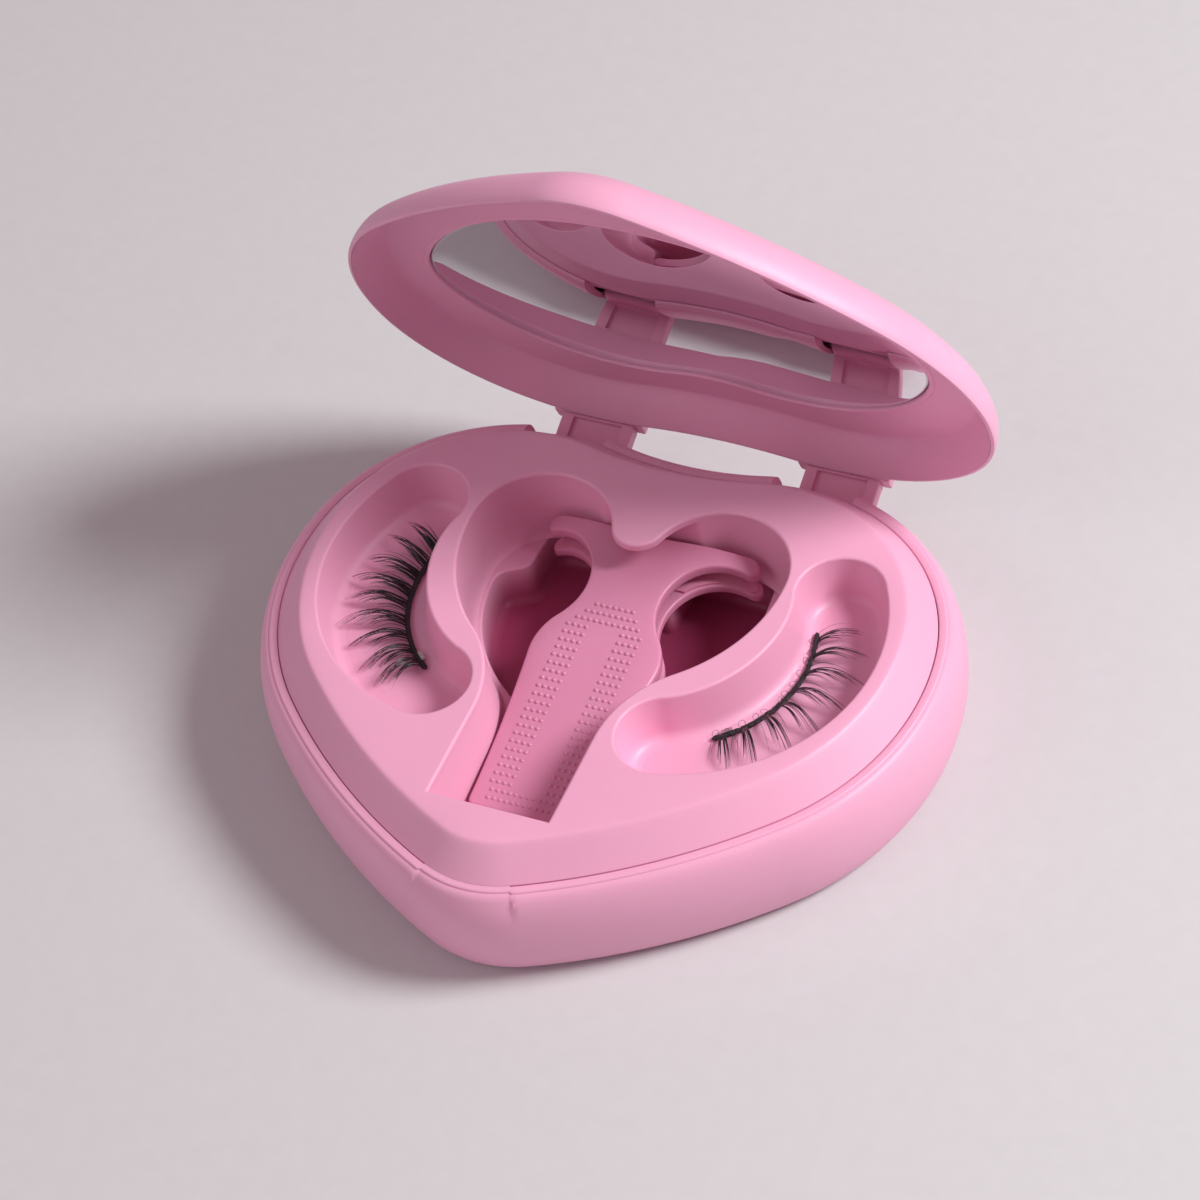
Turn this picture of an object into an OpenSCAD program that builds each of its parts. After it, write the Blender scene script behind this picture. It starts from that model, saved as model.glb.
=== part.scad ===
// Heart-shaped case for one pair of false eyelashes, with a mirror in its lid and a two-armed
// applicator in its tray. The lid is drawn as it stands open. X runs to the right, Y from the
// pointed front to the hinges, Z up, and the base stands on z = 0.

/* [Outline] */
// Y of the pointed front of the tray, from the middle of the case
front_y = -44; // [-45:0.5:-43]
// Radius of the rounded point
point_r = 16.8; // [15:0.2:18]
// Radius of the long flanks
flank_r = 105.8; // [100:1:112]
// Radius of the widest part of each side
side_r = 40.4; // [39:0.2:42]
// Radius of each lobe
lobe_r = 31.2; // [30:0.2:32]

/* [Base] */
// Height of the base rim above the table
rim_z = 18.8; // [18:0.2:20]
// Width of the flat rim round the tray
rim_w = 1.48; // [1.3:0.05:1.8]
// How far the base bulges out past the edge of the tray
bulge = 3.88; // [3.6:0.1:4.4]
// Height of the widest part of the bulge
bulge_z = 10.9; // [10:0.1:11.5]
// Thickness of the moulded walls
wall = 1.6; // [1.4:0.1:1.8]
// Depth of the thumb relief at the front
relief_d = 0.35; // [0.2:0.05:0.6]
// Width of the thumb relief
relief_w = 14; // [8:1:18]

/* [Tray] */
// Height of the deck above the rim
deck_rise = 4.9; // [4.6:0.1:5]
// Inward run of the sloped wall round the deck
deck_run = 4.15; // [3.8:0.05:4.4]
// Thickness of the tray
tray_t = 1.2; // [1:0.1:1.4]
// Depth of the two lash wells
lash_well_d = 8; // [7:0.5:9]
// Height of the groove floor under the applicator
groove_z = 9.7; // [9.4:0.1:10.2]
// Height of the floor at the back of the middle well
ledge_z = 6.4; // [6:0.1:6.6]
// Height of the floor of the finger pocket
pocket_z = 3.6; // [3.4:0.1:4.4]

/* [Lid] */
// Angle at which the lid stands open
lid_open = 70; // [60:1:76]
// Height of the dome of the lid above its rim
dome_h = 12.8; // [12.6:0.2:16]
// Gap between the closed lid and the base rim
lid_gap = 0.25; // [0.2:0.05:0.4]
// Height of the mirror frame above the base rim when the lid is closed
frame_rise = 5.7; // [5.5:0.1:5.8]
// Thickness of the mirror
mirror_t = 1; // [0.8:0.1:1.1]

/* [Hinges] */
// Distance of the middle of each hinge arm from the middle of the case
arm_x = 21; // [20:0.5:22]
// Width of each hinge arm
arm_w = 12.4; // [10:0.2:12.8]
// Y of the hinge axis
hinge_y = 41.3; // [41.2:0.1:41.6]
// Height of the hinge axis
hinge_z = 7.6; // [7.2:0.1:8]
// Radius of the knuckle round the pin
knuckle_r = 3; // [2.6:0.1:3.1]
// Radius of the hinge pins
pin_r = 0.9; // [0.7:0.05:1.1]
// Radial clearance of a pin in its knuckle
pin_fit = 0.05; // [0.02:0.01:0.1]

/* [Applicator] */
// Thickness of each blade
blade_t = 1.6; // [1.4:0.1:1.8]
// Y of the square tail of the applicator
tail_y = -27; // [-28:0.5:-26]
// Half width of the tail
tail_half = 8.3; // [7.8:0.1:8.4]
// Rise of the upper blade from its tail to its jaw
upper_rise = 4.6; // [4.2:0.1:5]
// Rise of the lower blade from its tail to its jaw
lower_rise = 2; // [1.6:0.1:2.4]
// Radius to which the jaws bend down towards their tips
jaw_r = 24; // [23:1:40]

/* [Lashes] */
// Radius of a lash band
band_r = 19.9; // [19.8:0.1:20.2]
// Number of hair clusters on a lash
clusters = 9; // [7:1:9]
// Number of hairs in a cluster
hairs = 17; // [9:2:17]
// Length of the longest hairs
hair_len = 9.6; // [8:0.2:10]

/* [Hidden] */

// Legs of half an outline: radius (left turn positive, right turn negative, 0 for straight),
// then the sweep in degrees or the length, then the number of steps
case_legs = [[point_r, 23.55, 4], [flank_r, 21.6, 5], [side_r, 55.45, 7], [lobe_r, 92.65, 12]];
mirror_front = -25.3;
mirror_legs = [[43.4, 27.6, 4], [42.2, 39.3, 5], [15, 43.4, 7], [26.8, 87.2, 12]];

deck_z = rim_z + deck_rise;
well_z = deck_z - lash_well_d;
seat_z = rim_z - 2.3;
fit = 0.12;
far = 40;
arm_slot = arm_w / 2 + 0.55;
arm_front = hinge_y + 0.2;
arm_t = 2.4;
magnet_r = 1.6;
magnet_t = 1;
magnet_y = front_y + 7.4;
pink = "#e29ac0";
pink_light = "#eeb4d2";
steel = "#b9bcc2";
black = "#141214";

// Unit vector to the right of a heading
function beside(h) = [sin(h), -cos(h)];

// Points along a path of legs from p at heading h, moved to its right by d
function trail(p, h, legs, d, i = 0) =
    i == len(legs) ? [] :
    let (r = legs[i][0], a = legs[i][1], n = legs[i][2])
    r == 0 ?
        concat([p + d * beside(h)], trail(p + a * [cos(h), sin(h)], h, legs, d, i + 1)) :
        let (c = p - r * beside(h), s = sign(r) * a)
        concat([for (k = [0 : n - 1]) c + (r + d) * beside(h + s * k / n)],
            trail(c + r * beside(h + s), h + s, legs, d, i + 1));

// Position and heading at the end of such a path
function trail_end(p, h, legs, i = 0) =
    i == len(legs) ? [p, h] :
    let (r = legs[i][0], a = legs[i][1])
    r == 0 ? trail_end(p + a * [cos(h), sin(h)], h, legs, i + 1) :
        trail_end(p - r * beside(h) + r * beside(h + sign(r) * a), h + sign(r) * a, legs, i + 1);

// An outline that is the same on both sides: the legs, one arc that closes it on the middle
// line, and the mirror image of both, all moved out by d
function outline(front, legs, d, steps = 3) =
    let (e = trail_end([0, front], 0, legs), h = e[1], r = e[0][0] / sin(h))
    let (c = e[0] - r * beside(h))
    let (half = concat(trail([0, front], 0, legs, d),
        [for (k = [0 : steps]) c + (r + d) * beside(h + (180 - h) * k / steps)]))
    concat(half, [for (i = [len(half) - 2 : -1 : 1]) [-half[i][0], half[i][1]]]);

function heart(d) = outline(front_y, case_legs, d);
function mirror_shape(d) = outline(mirror_front, mirror_legs, d);
function scaled(p, k) = [for (q = p) k * q];

// Outlines at heights, as [outline, z] from the first cap to the last, skinned into one solid
module skin(rings) {
    n = len(rings[0][0]);
    last = (len(rings) - 1) * n;
    polyhedron(
        points = [for (r = rings) for (p = r[0]) [p[0], p[1], r[1]]],
        faces = concat(
            [[for (i = [0 : n - 1]) i]],
            [for (j = [0 : len(rings) - 2]) for (i = [0 : n - 1])
                let (a = j * n + i, b = j * n + (i + 1) % n)
                each [[a, a + n, b + n], [a, b + n, b]]],
            [[for (i = [n - 1 : -1 : 0]) last + i]]));
}

// The same for the case outline, from a list of [offset, z]
module heart_skin(path) {
    skin([for (s = path) [heart(s[0]), s[1]]]);
}

// Both sides of the case
module sides() {
    children();
    mirror([1, 0, 0]) children();
}

// A flat outline in the YZ plane, as wide as w about the middle of a hinge arm
module across_arm(points, w) {
    translate([arm_x - w / 2, 0, 0]) rotate([90, 0, 90]) linear_extrude(w) polygon(points);
}

// Turns what is drawn closed to where it stands open
module opened() {
    translate([0, hinge_y, hinge_z]) rotate([-lid_open, 0, 0]) translate([0, -hinge_y, -hinge_z])
        children();
}

// Base shell

module base_shell() {
    turn_in = 4.15;
    brow = rim_z - 1;
    rise = brow - bulge_z;
    drop = bulge - rim_w;
    outside = concat(
        [for (a = [0 : 15 : 90]) [bulge - turn_in * (1 - sin(a)), bulge_z * (1 - cos(a))]],
        [for (a = [30, 60]) [rim_w + drop * cos(a), bulge_z + rise * sin(a)]],
        [[rim_w, brow], [rim_w, rim_z]]);
    inside = [[-2.4, wall + 0.2], [0, 3.2], [bulge - wall - 0.5, bulge_z - 4],
        [bulge - wall, bulge_z], [1.6, rim_z - 5.2], [-1, rim_z - 3.6], [-1, seat_z + 0.5]];
    color(pink) difference() {
        heart_skin(outside);
        difference() {
            heart_skin(inside);
            sides() hinge_block();
        }
        heart_skin([[fit, seat_z], [fit, far]]);
        sides() hinge_pocket();
        sides() hinge_bore(pin_r + 0.01);
        thumb_relief();
    }
}

// Solid material that the hinge pocket is cut from
module hinge_block() {
    front = hinge_y - knuckle_r - 1.9;
    translate([arm_x - arm_slot - 1.6, front, 0]) cube([2 * arm_slot + 3.2, 12, rim_z - 3.6]);
}

// Room for a knuckle below and for the arm above it, open to the back
module hinge_pocket() {
    room = knuckle_r + 0.5;
    slot_front = arm_front - 0.32;
    translate([arm_x - arm_slot, hinge_y - room, seat_z]) cube([2 * arm_slot, far, far]);
    translate([arm_x - arm_slot, hinge_y - room, hinge_z - room]) cube([2 * arm_slot, far, 2 * room]);
    translate([arm_x - arm_slot, slot_front, hinge_z]) cube([2 * arm_slot, far, far]);
}

// A bore along a hinge axis, through the walls of its pocket
module hinge_bore(r) {
    translate([arm_x - arm_slot - 1.4, hinge_y, hinge_z]) rotate([0, 90, 0])
        cylinder(r = r, h = 2 * arm_slot + 2.8, $fn = 32);
}

// A shallow flat for the thumb, deepest at the rim and running out below
module thumb_relief() {
    low = bulge_z - 1.5;
    deep = rim_w - relief_d;
    difference() {
        translate([-relief_w / 2, front_y - 10, low]) cube([relief_w, 20, far]);
        heart_skin([[bulge + 0.2, low - 1], [bulge + 0.1, low + 0.5],
            [rim_w + (bulge - rim_w) * 0.74, rim_z - 3], [rim_w + (bulge - rim_w) * 0.3, rim_z - 1],
            [deep, rim_z - 0.3], [deep, far + rim_z]]);
    }
}

// Tray

// Arc of the right-hand lash well, with a half width that swells in the middle
well_c = [12.4, 9.5];
well_r = 24.2;
well_a = [23.8, -73.4];
function well_angle(s) = well_a[0] + (well_a[1] - well_a[0]) * s;
function well_half(s) = 6.8 + 0.2 * s + 1.45 * sin(180 * s);
function polar(c, r, a) = c + r * [cos(a), sin(a)];

// A lash well, with drafted walls and a rounded foot, as a chain of tapered discs along its arc;
// grow makes the plastic round it
well_links = 9;
module lash_well(grow) {
    for (i = [0 : well_links - 1]) hull() {
        well_disc(i / well_links, grow);
        well_disc((i + 1) / well_links, grow);
    }
}

module well_disc(s, grow) {
    r = well_half(s) + grow;
    at = polar(well_c, well_r, well_angle(s));
    foot = 1.6;
    height = lash_well_d + (grow > 0 ? grow - 0.7 : 1);
    translate([at[0], at[1], well_z - grow]) {
        cylinder(r1 = r - 2.2, r2 = r - 0.9, h = foot, $fn = 28);
        translate([0, 0, foot]) cylinder(r1 = r - 0.9, r2 = r, h = height - foot, $fn = 28);
    }
}

// Middle well: a straight groove that flares into two lobes with a rounded lip between them
groove_front = -33.4;
groove_half = 9.7;
groove_draft = 0.25;
lip_t = 1.3;
room_half = 8.8;
room_back = 27.6;
room_front = 17;
function middle(d, corner = 5) = outline(groove_front,
    [[0, groove_half - corner, 1], [corner, 90, 3], [0, 16.4 - corner, 1], [-19.1, 49.7, 5],
    [26.7, 51.4, 6], [11.2, 159.2, 10]], d, 4);
function groove(d) = [[-groove_half - d, groove_front - d], [groove_half + d, groove_front - d],
    [groove_half + d, -4.3], [-groove_half - d, -4.3]];

module middle_well(grow) {
    z = groove_z - grow;
    top = grow > 0 ? deck_z - 0.5 : far;
    skin([[middle(grow - 2.1), z + 0.5], [middle(grow - 1.4), z + 1.1], [middle(grow - 0.8), z + 2.5],
        [middle(grow - 0.3), z + 5], [middle(grow), deck_z - 0.6], [middle(grow), top]]);
    skin([[groove(grow - groove_draft), z], [groove(grow + 0.04), deck_z - 1],
        [groove(grow + 0.04), top - 0.1]]);
}

// Deep pocket for finger and thumb beside the handle and for the jaws, moved out by d
pocket_legs = [[0, 8.13, 1], [4, 37.3, 3], [0, 4, 1], [24.1, 50, 8], [2, 63, 3], [0, 2.2, 1],
    [-3, 56, 3], [0, 4.6, 1], [2.2, 85.2, 4]];
function pocket(d) = outline(-4.51, pocket_legs, d, 2);

module finger_pocket(grow) {
    skin([[pocket(grow - 1), pocket_z - grow], [pocket(grow - 0.3), pocket_z - grow + 0.5],
        [pocket(grow), pocket_z + 3], [pocket(grow), groove_z + 1.7]]);
}

// Room for the head under the lip; the head tilts in it as the applicator is lifted out
module lip_room(grow) {
    half = room_half + grow;
    top = grow > 0 ? deck_z - 0.8 : deck_z - lip_t;
    translate([-half, room_front, groove_z + 1.1 - grow])
        cube([2 * half, room_back - room_front + grow, top - groove_z - 1.1 + grow]);
}

// Stands under the head of the applicator
module pedestal() {
    translate([-4.6, 19.5, pocket_z - 0.5]) cube([9.2, 12, groove_z + 2.25 - pocket_z]);
}

module inner_tray() {
    in_run = deck_run + 0.9;
    color(pink_light) difference() {
        union() {
            difference() {
                heart_skin([[0, seat_z], [0, rim_z], [-deck_run * 0.94, deck_z - 0.35],
                    [-deck_run - 0.5, deck_z]]);
                heart_skin([[-tray_t, seat_z - 1], [-tray_t, rim_z - 0.6],
                    [-in_run, deck_z - tray_t]]);
            }
            sides() lash_well(tray_t);
            middle_well(tray_t);
            finger_pocket(tray_t);
            lip_room(tray_t);
        }
        sides() lash_well(0);
        middle_well(0);
        difference() {
            finger_pocket(0);
            pedestal();
        }
        difference() {
            lip_room(0);
            pedestal();
        }
    }
}

// A flat arc about the centre of a lash well, from angle a to angle b
module arc_bar(r, w, z, h, a, b) {
    translate([well_c[0], well_c[1], z]) rotate([0, 0, a])
        rotate_extrude(angle = b - a, $fn = 120) translate([r - w / 2, 0]) square([w, h]);
}

module right_well_magnet() {
    z = well_z - tray_t - magnet_t;
    color(steel) arc_bar(21.5, 3, z, magnet_t, -60, 10);
}

module left_well_magnet() {
    mirror([1, 0, 0]) right_well_magnet();
}

module tray_catch_magnet() {
    color(steel) translate([0, magnet_y, deck_z - tray_t - magnet_t])
        cylinder(r = magnet_r, h = magnet_t, $fn = 28);
}

// Hinges

module right_hinge_pin() {
    half = arm_slot + 1.3;
    color(steel) translate([arm_x - half, hinge_y, hinge_z]) rotate([0, 90, 0])
        cylinder(r = pin_r, h = 2 * half, $fn = 32);
}

module left_hinge_pin() {
    mirror([1, 0, 0]) right_hinge_pin();
}

// An arm: knuckle, plate with a channel between two rails, and a tenon that goes up into the lid
tenon_h = 3.2;
tenon_w = 10;
tenon_t = 1.6;
shoulder_z = rim_z + lid_gap;
module tenon(gap) {
    mid = arm_front + arm_t / 2;
    translate([arm_x - tenon_w / 2 - gap, mid - tenon_t / 2 - gap, shoulder_z - 1])
        cube([tenon_w + 2 * gap, tenon_t + 2 * gap, tenon_h + 1 + gap]);
}

module right_hinge_arm() {
    rail = 2;
    channel_z = hinge_z + 3.9;
    color(pink) opened() {
        difference() {
            union() {
                translate([arm_x - arm_w / 2, hinge_y, hinge_z]) rotate([0, 90, 0])
                    cylinder(r = knuckle_r, h = arm_w, $fn = 64);
                translate([arm_x - arm_w / 2, arm_front, hinge_z])
                    cube([arm_w, arm_t, shoulder_z - hinge_z]);
                tenon(0);
            }
            hinge_bore(pin_r + pin_fit);
            translate([arm_x - arm_w / 2 + rail, arm_front - 1, channel_z])
                cube([arm_w - 2 * rail, 1.8, shoulder_z - channel_z - 0.45]);
        }
    }
}

module left_hinge_arm() {
    mirror([1, 0, 0]) right_hinge_arm();
}

// Lid, drawn closed and then opened. Heights are above the base rim.

function lifted(path) = [for (s = path) [heart(s[0]), rim_z + s[1]]];
function crowned(edge, d, tops) = concat(lifted(edge),
    [for (t = tops) [scaled(heart(d), t[0]), rim_z + t[1]]]);

module lid_shell() {
    outside = [[1.4, lid_gap], [1.5, 3], [1, 5], [-0.2, 6.6], [-2, 7.9], [-5, 9.2], [-8, 10],
        [-14, dome_h - 1.6]];
    inside = [[0.42, -1], [0.42, 1.75], [0.02, 1.75], [0.02, 2.6], [-0.2, 4.6], [-1.4, 6],
        [-3.2, 7.1], [-8, 8.5], [-14, dome_h - 3.1]];
    pad_back = arm_front + arm_t + 0.4;
    pad = [[39, shoulder_z], [pad_back, shoulder_z], [pad_back, rim_z + 2.7],
        [pad_back - 0.9, rim_z + 4.8], [pad_back - 2.5, rim_z + 6.5], [39, rim_z + 7]];
    color(pink) opened() {
        difference() {
            union() {
                skin(crowned(outside, -14,
                    [[0.72, dome_h - 0.8], [0.42, dome_h - 0.25], [0.16, dome_h]]));
                sides() across_arm(pad, arm_w + 2.8);
            }
            skin(crowned(inside, -14,
                [[0.72, dome_h - 2.3], [0.42, dome_h - 1.75], [0.16, dome_h - 1.5]]));
            sides() tenon(0.03);
        }
    }
}

// Lining of the lid: a sloped band, a flat ledge, a bead and the seat of the mirror
seat_top = frame_rise + 1.4;
module mirror_frame() {
    band = frame_rise + 1;
    color(pink_light) opened() {
        skin(concat(
            [for (s = [[0.15, seat_top], [0.1, frame_rise - 0.3], [0.9, frame_rise - 0.3],
                [1.1, frame_rise]]) [mirror_shape(s[0]), rim_z + s[1]]],
            lifted([[-3.85, frame_rise], [0.4, lid_gap], [0.4, 1.75], [0, 1.75],
                [-3, frame_rise + 0.5], [-3.4, band]]),
            [for (z = [band, seat_top + 0.9]) [mirror_shape(1.4), rim_z + z]]));
    }
}

module mirror_tape() {
    low = seat_top - 0.2;
    color("#e8e6e0") opened() {
        skin([[mirror_shape(-0.8), rim_z + low], [mirror_shape(-0.8), rim_z + seat_top]]);
    }
}

module mirror_glass() {
    back = rim_z + seat_top - 0.2;
    front = back - mirror_t;
    color("#dfe3e6") opened() {
        skin([[mirror_shape(-0.25), front], [mirror_shape(0), front + 0.25], [mirror_shape(0), back]]);
    }
}

module lid_catch_magnet() {
    color(steel) opened() {
        translate([0, magnet_y, rim_z + frame_rise + 1]) cylinder(r = magnet_r, h = magnet_t, $fn = 28);
    }
}

// Applicator: two thin blades joined at the tail, whose heads bend down to either side

blade_len = 52;
blade_z = groove_z + 0.1;
upper_z = blade_z + blade_t + 0.6;
join_y = tail_y + 4.6;
lower_tilt = atan(lower_rise / blade_len);
upper_tilt = atan(upper_rise / blade_len);
function applicator(d) = outline(tail_y,
    [[0, tail_half - 1, 1], [1, 88.9, 3], [-235, 6.7, 3], [9, 47.5, 5], [-9.9, 130, 12],
    [1.5, 192.7, 6]], d, 5);

// Section across a blade, from z = low to z = high in the middle
crown = 5.8;
function sag(x) = jaw_r - sqrt(jaw_r * jaw_r - pow(max(0, abs(x) - crown), 2));
function blade_section(low, high) =
    let (xs = [-21, -19, -17, -15, -13, -11, -9, -7.4, -crown, crown, 7.4, 9, 11, 13, 15, 17, 19, 21])
    concat([for (x = xs) [x, low - sag(x)]],
        [for (i = [len(xs) - 1 : -1 : 0]) [xs[i], high - sag(xs[i])]]);

// A tilted layer of a blade, between two heights, cut to the outline moved out by d
module layer(z, tilt, low, high, d, from) {
    intersection() {
        translate([0, tail_y, z]) rotate([tilt, 0, 0]) translate([0, 62, 0]) rotate([90, 0, 0])
            linear_extrude(70) polygon(blade_section(low, high));
        intersection() {
            linear_extrude(far) polygon(applicator(d));
            translate([-far, from, 0]) cube([2 * far, 2 * far, far]);
        }
    }
}

module lower_blade() {
    half = tail_half - 0.8;
    color(pink) union() {
        layer(blade_z, lower_tilt, 0, blade_t, 0, -far);
        translate([-half, tail_y + 0.5, blade_z + 1])
            cube([2 * half, join_y - tail_y - 0.5, upper_z - 0.05 - blade_z - 1]);
    }
}

module upper_blade() {
    color(pink) layer(upper_z, upper_tilt, 0, blade_t, 0, -far);
}

strip_t = 0.4;
strip_y = 20.5;
module lower_jaw_strip() {
    color("#f4d4e4") layer(blade_z, lower_tilt, blade_t, blade_t + strip_t, -0.6, strip_y);
}

module upper_jaw_strip() {
    color("#f4d4e4") layer(upper_z, upper_tilt, -strip_t, 0, -0.6, strip_y);
}

// Lashes

band_w = 0.5;
band_h = 0.6;
band_z = well_z + 0.2;
band_a = [-56, 21];
slice_w = 0.2;
slice_r = band_r + band_w / 2 + slice_w / 2;

module right_lash_band() {
    color(black) arc_bar(band_r, band_w, band_z, band_h, band_a[0], band_a[1]);
}

module left_lash_band() {
    mirror([1, 0, 0]) right_lash_band();
}

module right_lash_magnet() {
    w = 0.6;
    color(steel) arc_bar(band_r - band_w / 2 - w / 2, w, band_z, band_h + 0.1, -51, -46);
}

module left_lash_magnet() {
    mirror([1, 0, 0]) right_lash_magnet();
}

// One hair, as rings of three points that taper from the root to the tip
sides_n = 3;
hair_w = 0.055;
hair_steps = [0, 0.55, 1];
module hair(a, tip_a, len) {
    n = len(hair_steps);
    points = [for (s = hair_steps)
        let (b = a + (tip_a - a) * s, w = hair_w * (1 - 0.6 * s))
        for (k = [0 : sides_n - 1])
            let (t = 120 * k + 90)
            [well_c[0] + (slice_r + len * s) * cos(b) - w * cos(t) * sin(b),
                well_c[1] + (slice_r + len * s) * sin(b) + w * cos(t) * cos(b),
                band_z + band_h / 2 + 2.6 * s * s + w * sin(t)]];
    last = (n - 1) * sides_n;
    polyhedron(points = points, faces = concat(
        [[0, 1, 2]],
        [for (j = [0 : n - 2]) for (k = [0 : sides_n - 1])
            let (p = j * sides_n + k, q = j * sides_n + (k + 1) % sides_n)
            each [[p, p + sides_n, q + sides_n], [p, q + sides_n, q]]],
        [[last + 2, last + 1, last]]));
}

module right_lash_hairs() {
    step = (band_a[1] - band_a[0]) / clusters;
    color(black) union() {
        arc_bar(slice_r, slice_w, band_z, band_h, band_a[0], band_a[1]);
        for (i = [0 : clusters - 1]) for (j = [0 : hairs - 1]) {
            u = 2 * j / (hairs - 1) - 1;
            mid = band_a[0] + step * (i + 0.5);
            edge = 1 - 0.2 * pow(abs(2 * (i + 0.5) / clusters - 1), 3);
            hair(mid + 0.46 * step * u, mid + 0.2 * step * u - 3, hair_len * edge * (1 - 0.3 * u * u));
        }
    }
}

module left_lash_hairs() {
    mirror([1, 0, 0]) right_lash_hairs();
}

base_shell();
inner_tray();
left_well_magnet();
right_well_magnet();
tray_catch_magnet();
left_hinge_pin();
right_hinge_pin();
left_hinge_arm();
right_hinge_arm();
lid_shell();
mirror_frame();
mirror_tape();
mirror_glass();
lid_catch_magnet();
lower_blade();
upper_blade();
lower_jaw_strip();
upper_jaw_strip();
left_lash_band();
right_lash_band();
left_lash_hairs();
right_lash_hairs();
left_lash_magnet();
right_lash_magnet();
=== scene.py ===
import bpy
import bmesh
import math
import random
import numpy as np
from mathutils import Matrix, Vector
from mathutils.geometry import delaunay_2d_cdt


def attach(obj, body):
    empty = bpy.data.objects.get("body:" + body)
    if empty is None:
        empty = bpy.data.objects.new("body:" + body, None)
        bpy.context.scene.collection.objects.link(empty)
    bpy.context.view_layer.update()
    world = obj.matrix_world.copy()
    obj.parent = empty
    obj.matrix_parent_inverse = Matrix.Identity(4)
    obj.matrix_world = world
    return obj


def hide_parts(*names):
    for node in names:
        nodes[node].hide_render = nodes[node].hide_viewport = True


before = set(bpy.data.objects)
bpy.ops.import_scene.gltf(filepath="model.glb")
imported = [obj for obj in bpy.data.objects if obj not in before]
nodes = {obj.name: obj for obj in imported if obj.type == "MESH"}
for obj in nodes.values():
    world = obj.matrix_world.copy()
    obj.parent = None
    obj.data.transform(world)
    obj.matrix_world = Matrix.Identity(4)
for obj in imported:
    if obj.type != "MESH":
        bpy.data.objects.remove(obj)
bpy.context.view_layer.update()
MM = 0.001

# Driving sizes in millimetres, the same as in the solids
RIM = 18.8
RIM_W = 1.48
BULGE = 3.88
BULGE_Z = 10.9
DECK = 23.7
RUN = 4.15
WELL = 15.7
GROOVE = 9.7
POCKET = 3.6
HINGE = (41.3, 7.6)
OPEN = 70.0
FRAME_RISE = 5.7
DOME = 10.7
ARM_X = 21.0
ARM_FRONT = HINGE[0] + 0.2
ARM_T = 2.4
TAIL_Y = -27.0
SHOULDER = RIM + 0.25
GROOVE_HALF = 9.7
GROOVE_END = -33.4
WELL_C = np.array([12.4, 9.5])
BAND_R = 19.9
BAND_ARC = (-56.0, 21.0)
CROWN, JAW_R = 5.8, 24.0
LOWER_Z, UPPER_Z = GROOVE + 0.1, 12.0
LOW_TILT, UP_TILT = math.atan(2.0 / 52), math.atan(4.6 / 52)
BLADE_T = 1.6
LIP_R = 0.45
HEART = (-44.0, [(16.8, 23.55, 22), (105.8, 0.2, 1), (105.8, 21.4, 48), (40.4, 55.45, 48),
                 (31.2, 92.65, 64)], 24)
MIRROR = (-25.3, [(43.4, 27.6, 22), (42.2, 0.4, 1), (42.2, 38.9, 48), (15.0, 43.4, 48),
                  (26.8, 87.2, 64)], 24)


# Camera

def aim_camera():
    """The photograph's camera: 135 mm lens, 48.3 degrees down, turned 32.27 and rolled 11.96 degrees."""
    e, yaw, roll = (math.radians(v) for v in (48.3, -32.27, -11.96))
    right0 = Vector((math.cos(yaw), -math.sin(yaw), 0))
    ahead = Vector((math.sin(yaw), math.cos(yaw), 0))
    up = Vector((0, 0, 1))
    fwd = ahead * math.cos(e) - up * math.sin(e)
    up0 = ahead * math.sin(e) + up * math.cos(e)
    right = right0 * math.cos(roll) + up0 * math.sin(roll)
    top = up0 * math.cos(roll) - right0 * math.sin(roll)
    focal = 4500.0
    dist = focal / 6.92
    tip = Vector((0, -44, RIM))
    across, down = (463.2 - 600) / focal * dist, (881.99 - 600) / focal * dist
    place = tip - (right * across - top * down + fwd * dist)
    data = bpy.data.cameras.new("camera")
    data.sensor_width = 36
    data.lens = 36 * focal / 1200
    data.clip_start, data.clip_end = 0.05, 20
    cam = bpy.data.objects.new("camera", data)
    bpy.context.scene.collection.objects.link(cam)
    cam.matrix_world = Matrix((
        (right.x, top.x, -fwd.x, place.x * MM),
        (right.y, top.y, -fwd.y, place.y * MM),
        (right.z, top.z, -fwd.z, place.z * MM),
        (0, 0, 0, 1)))
    bpy.context.scene.camera = cam


# Outlines: points and outward normals of arcs that follow one another

def beside(h):
    return np.array([math.sin(h), -math.cos(h)])


def walk(p, h, legs):
    """Points and normals along legs (radius, sweep or length, steps) from p at heading h degrees."""
    p, h = np.array(p, float), math.radians(h)
    pts, nrm = [], []
    for r, a, n in legs:
        if r == 0:
            d = np.array([math.cos(h), math.sin(h)])
            for k in range(n):
                pts.append(p + d * a * k / n)
                nrm.append(beside(h))
            p = p + d * a
        else:
            s = math.copysign(math.radians(a), r)
            c = p - r * beside(h)
            for k in range(n):
                t = h + s * k / n
                pts.append(c + r * beside(t))
                nrm.append(beside(t))
            h += s
            p = c + r * beside(h)
    return pts, nrm, p, h


def both_sides(pts, nrm):
    """A closed outline from its right half, which starts and ends on x = 0."""
    pts, nrm = np.array(pts), np.array(nrm)
    flip = np.array([-1, 1])
    return (np.vstack([pts, pts[-2:0:-1] * flip]), np.vstack([nrm, nrm[-2:0:-1] * flip]))


def outline(front, legs, steps):
    pts, nrm, p, h = walk((0, front), 0, legs)
    if abs(math.sin(h)) < 1e-6:
        for k in range(steps + 1):
            pts.append(p * np.array([1 - k / steps, 1]))
            nrm.append(beside(h))
    else:
        r = p[0] / math.sin(h)
        c = p - r * beside(h)
        for k in range(steps + 1):
            t = h + (math.pi - h) * k / steps
            pts.append(c + r * beside(t))
            nrm.append(beside(t))
    return both_sides(pts, nrm)


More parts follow.
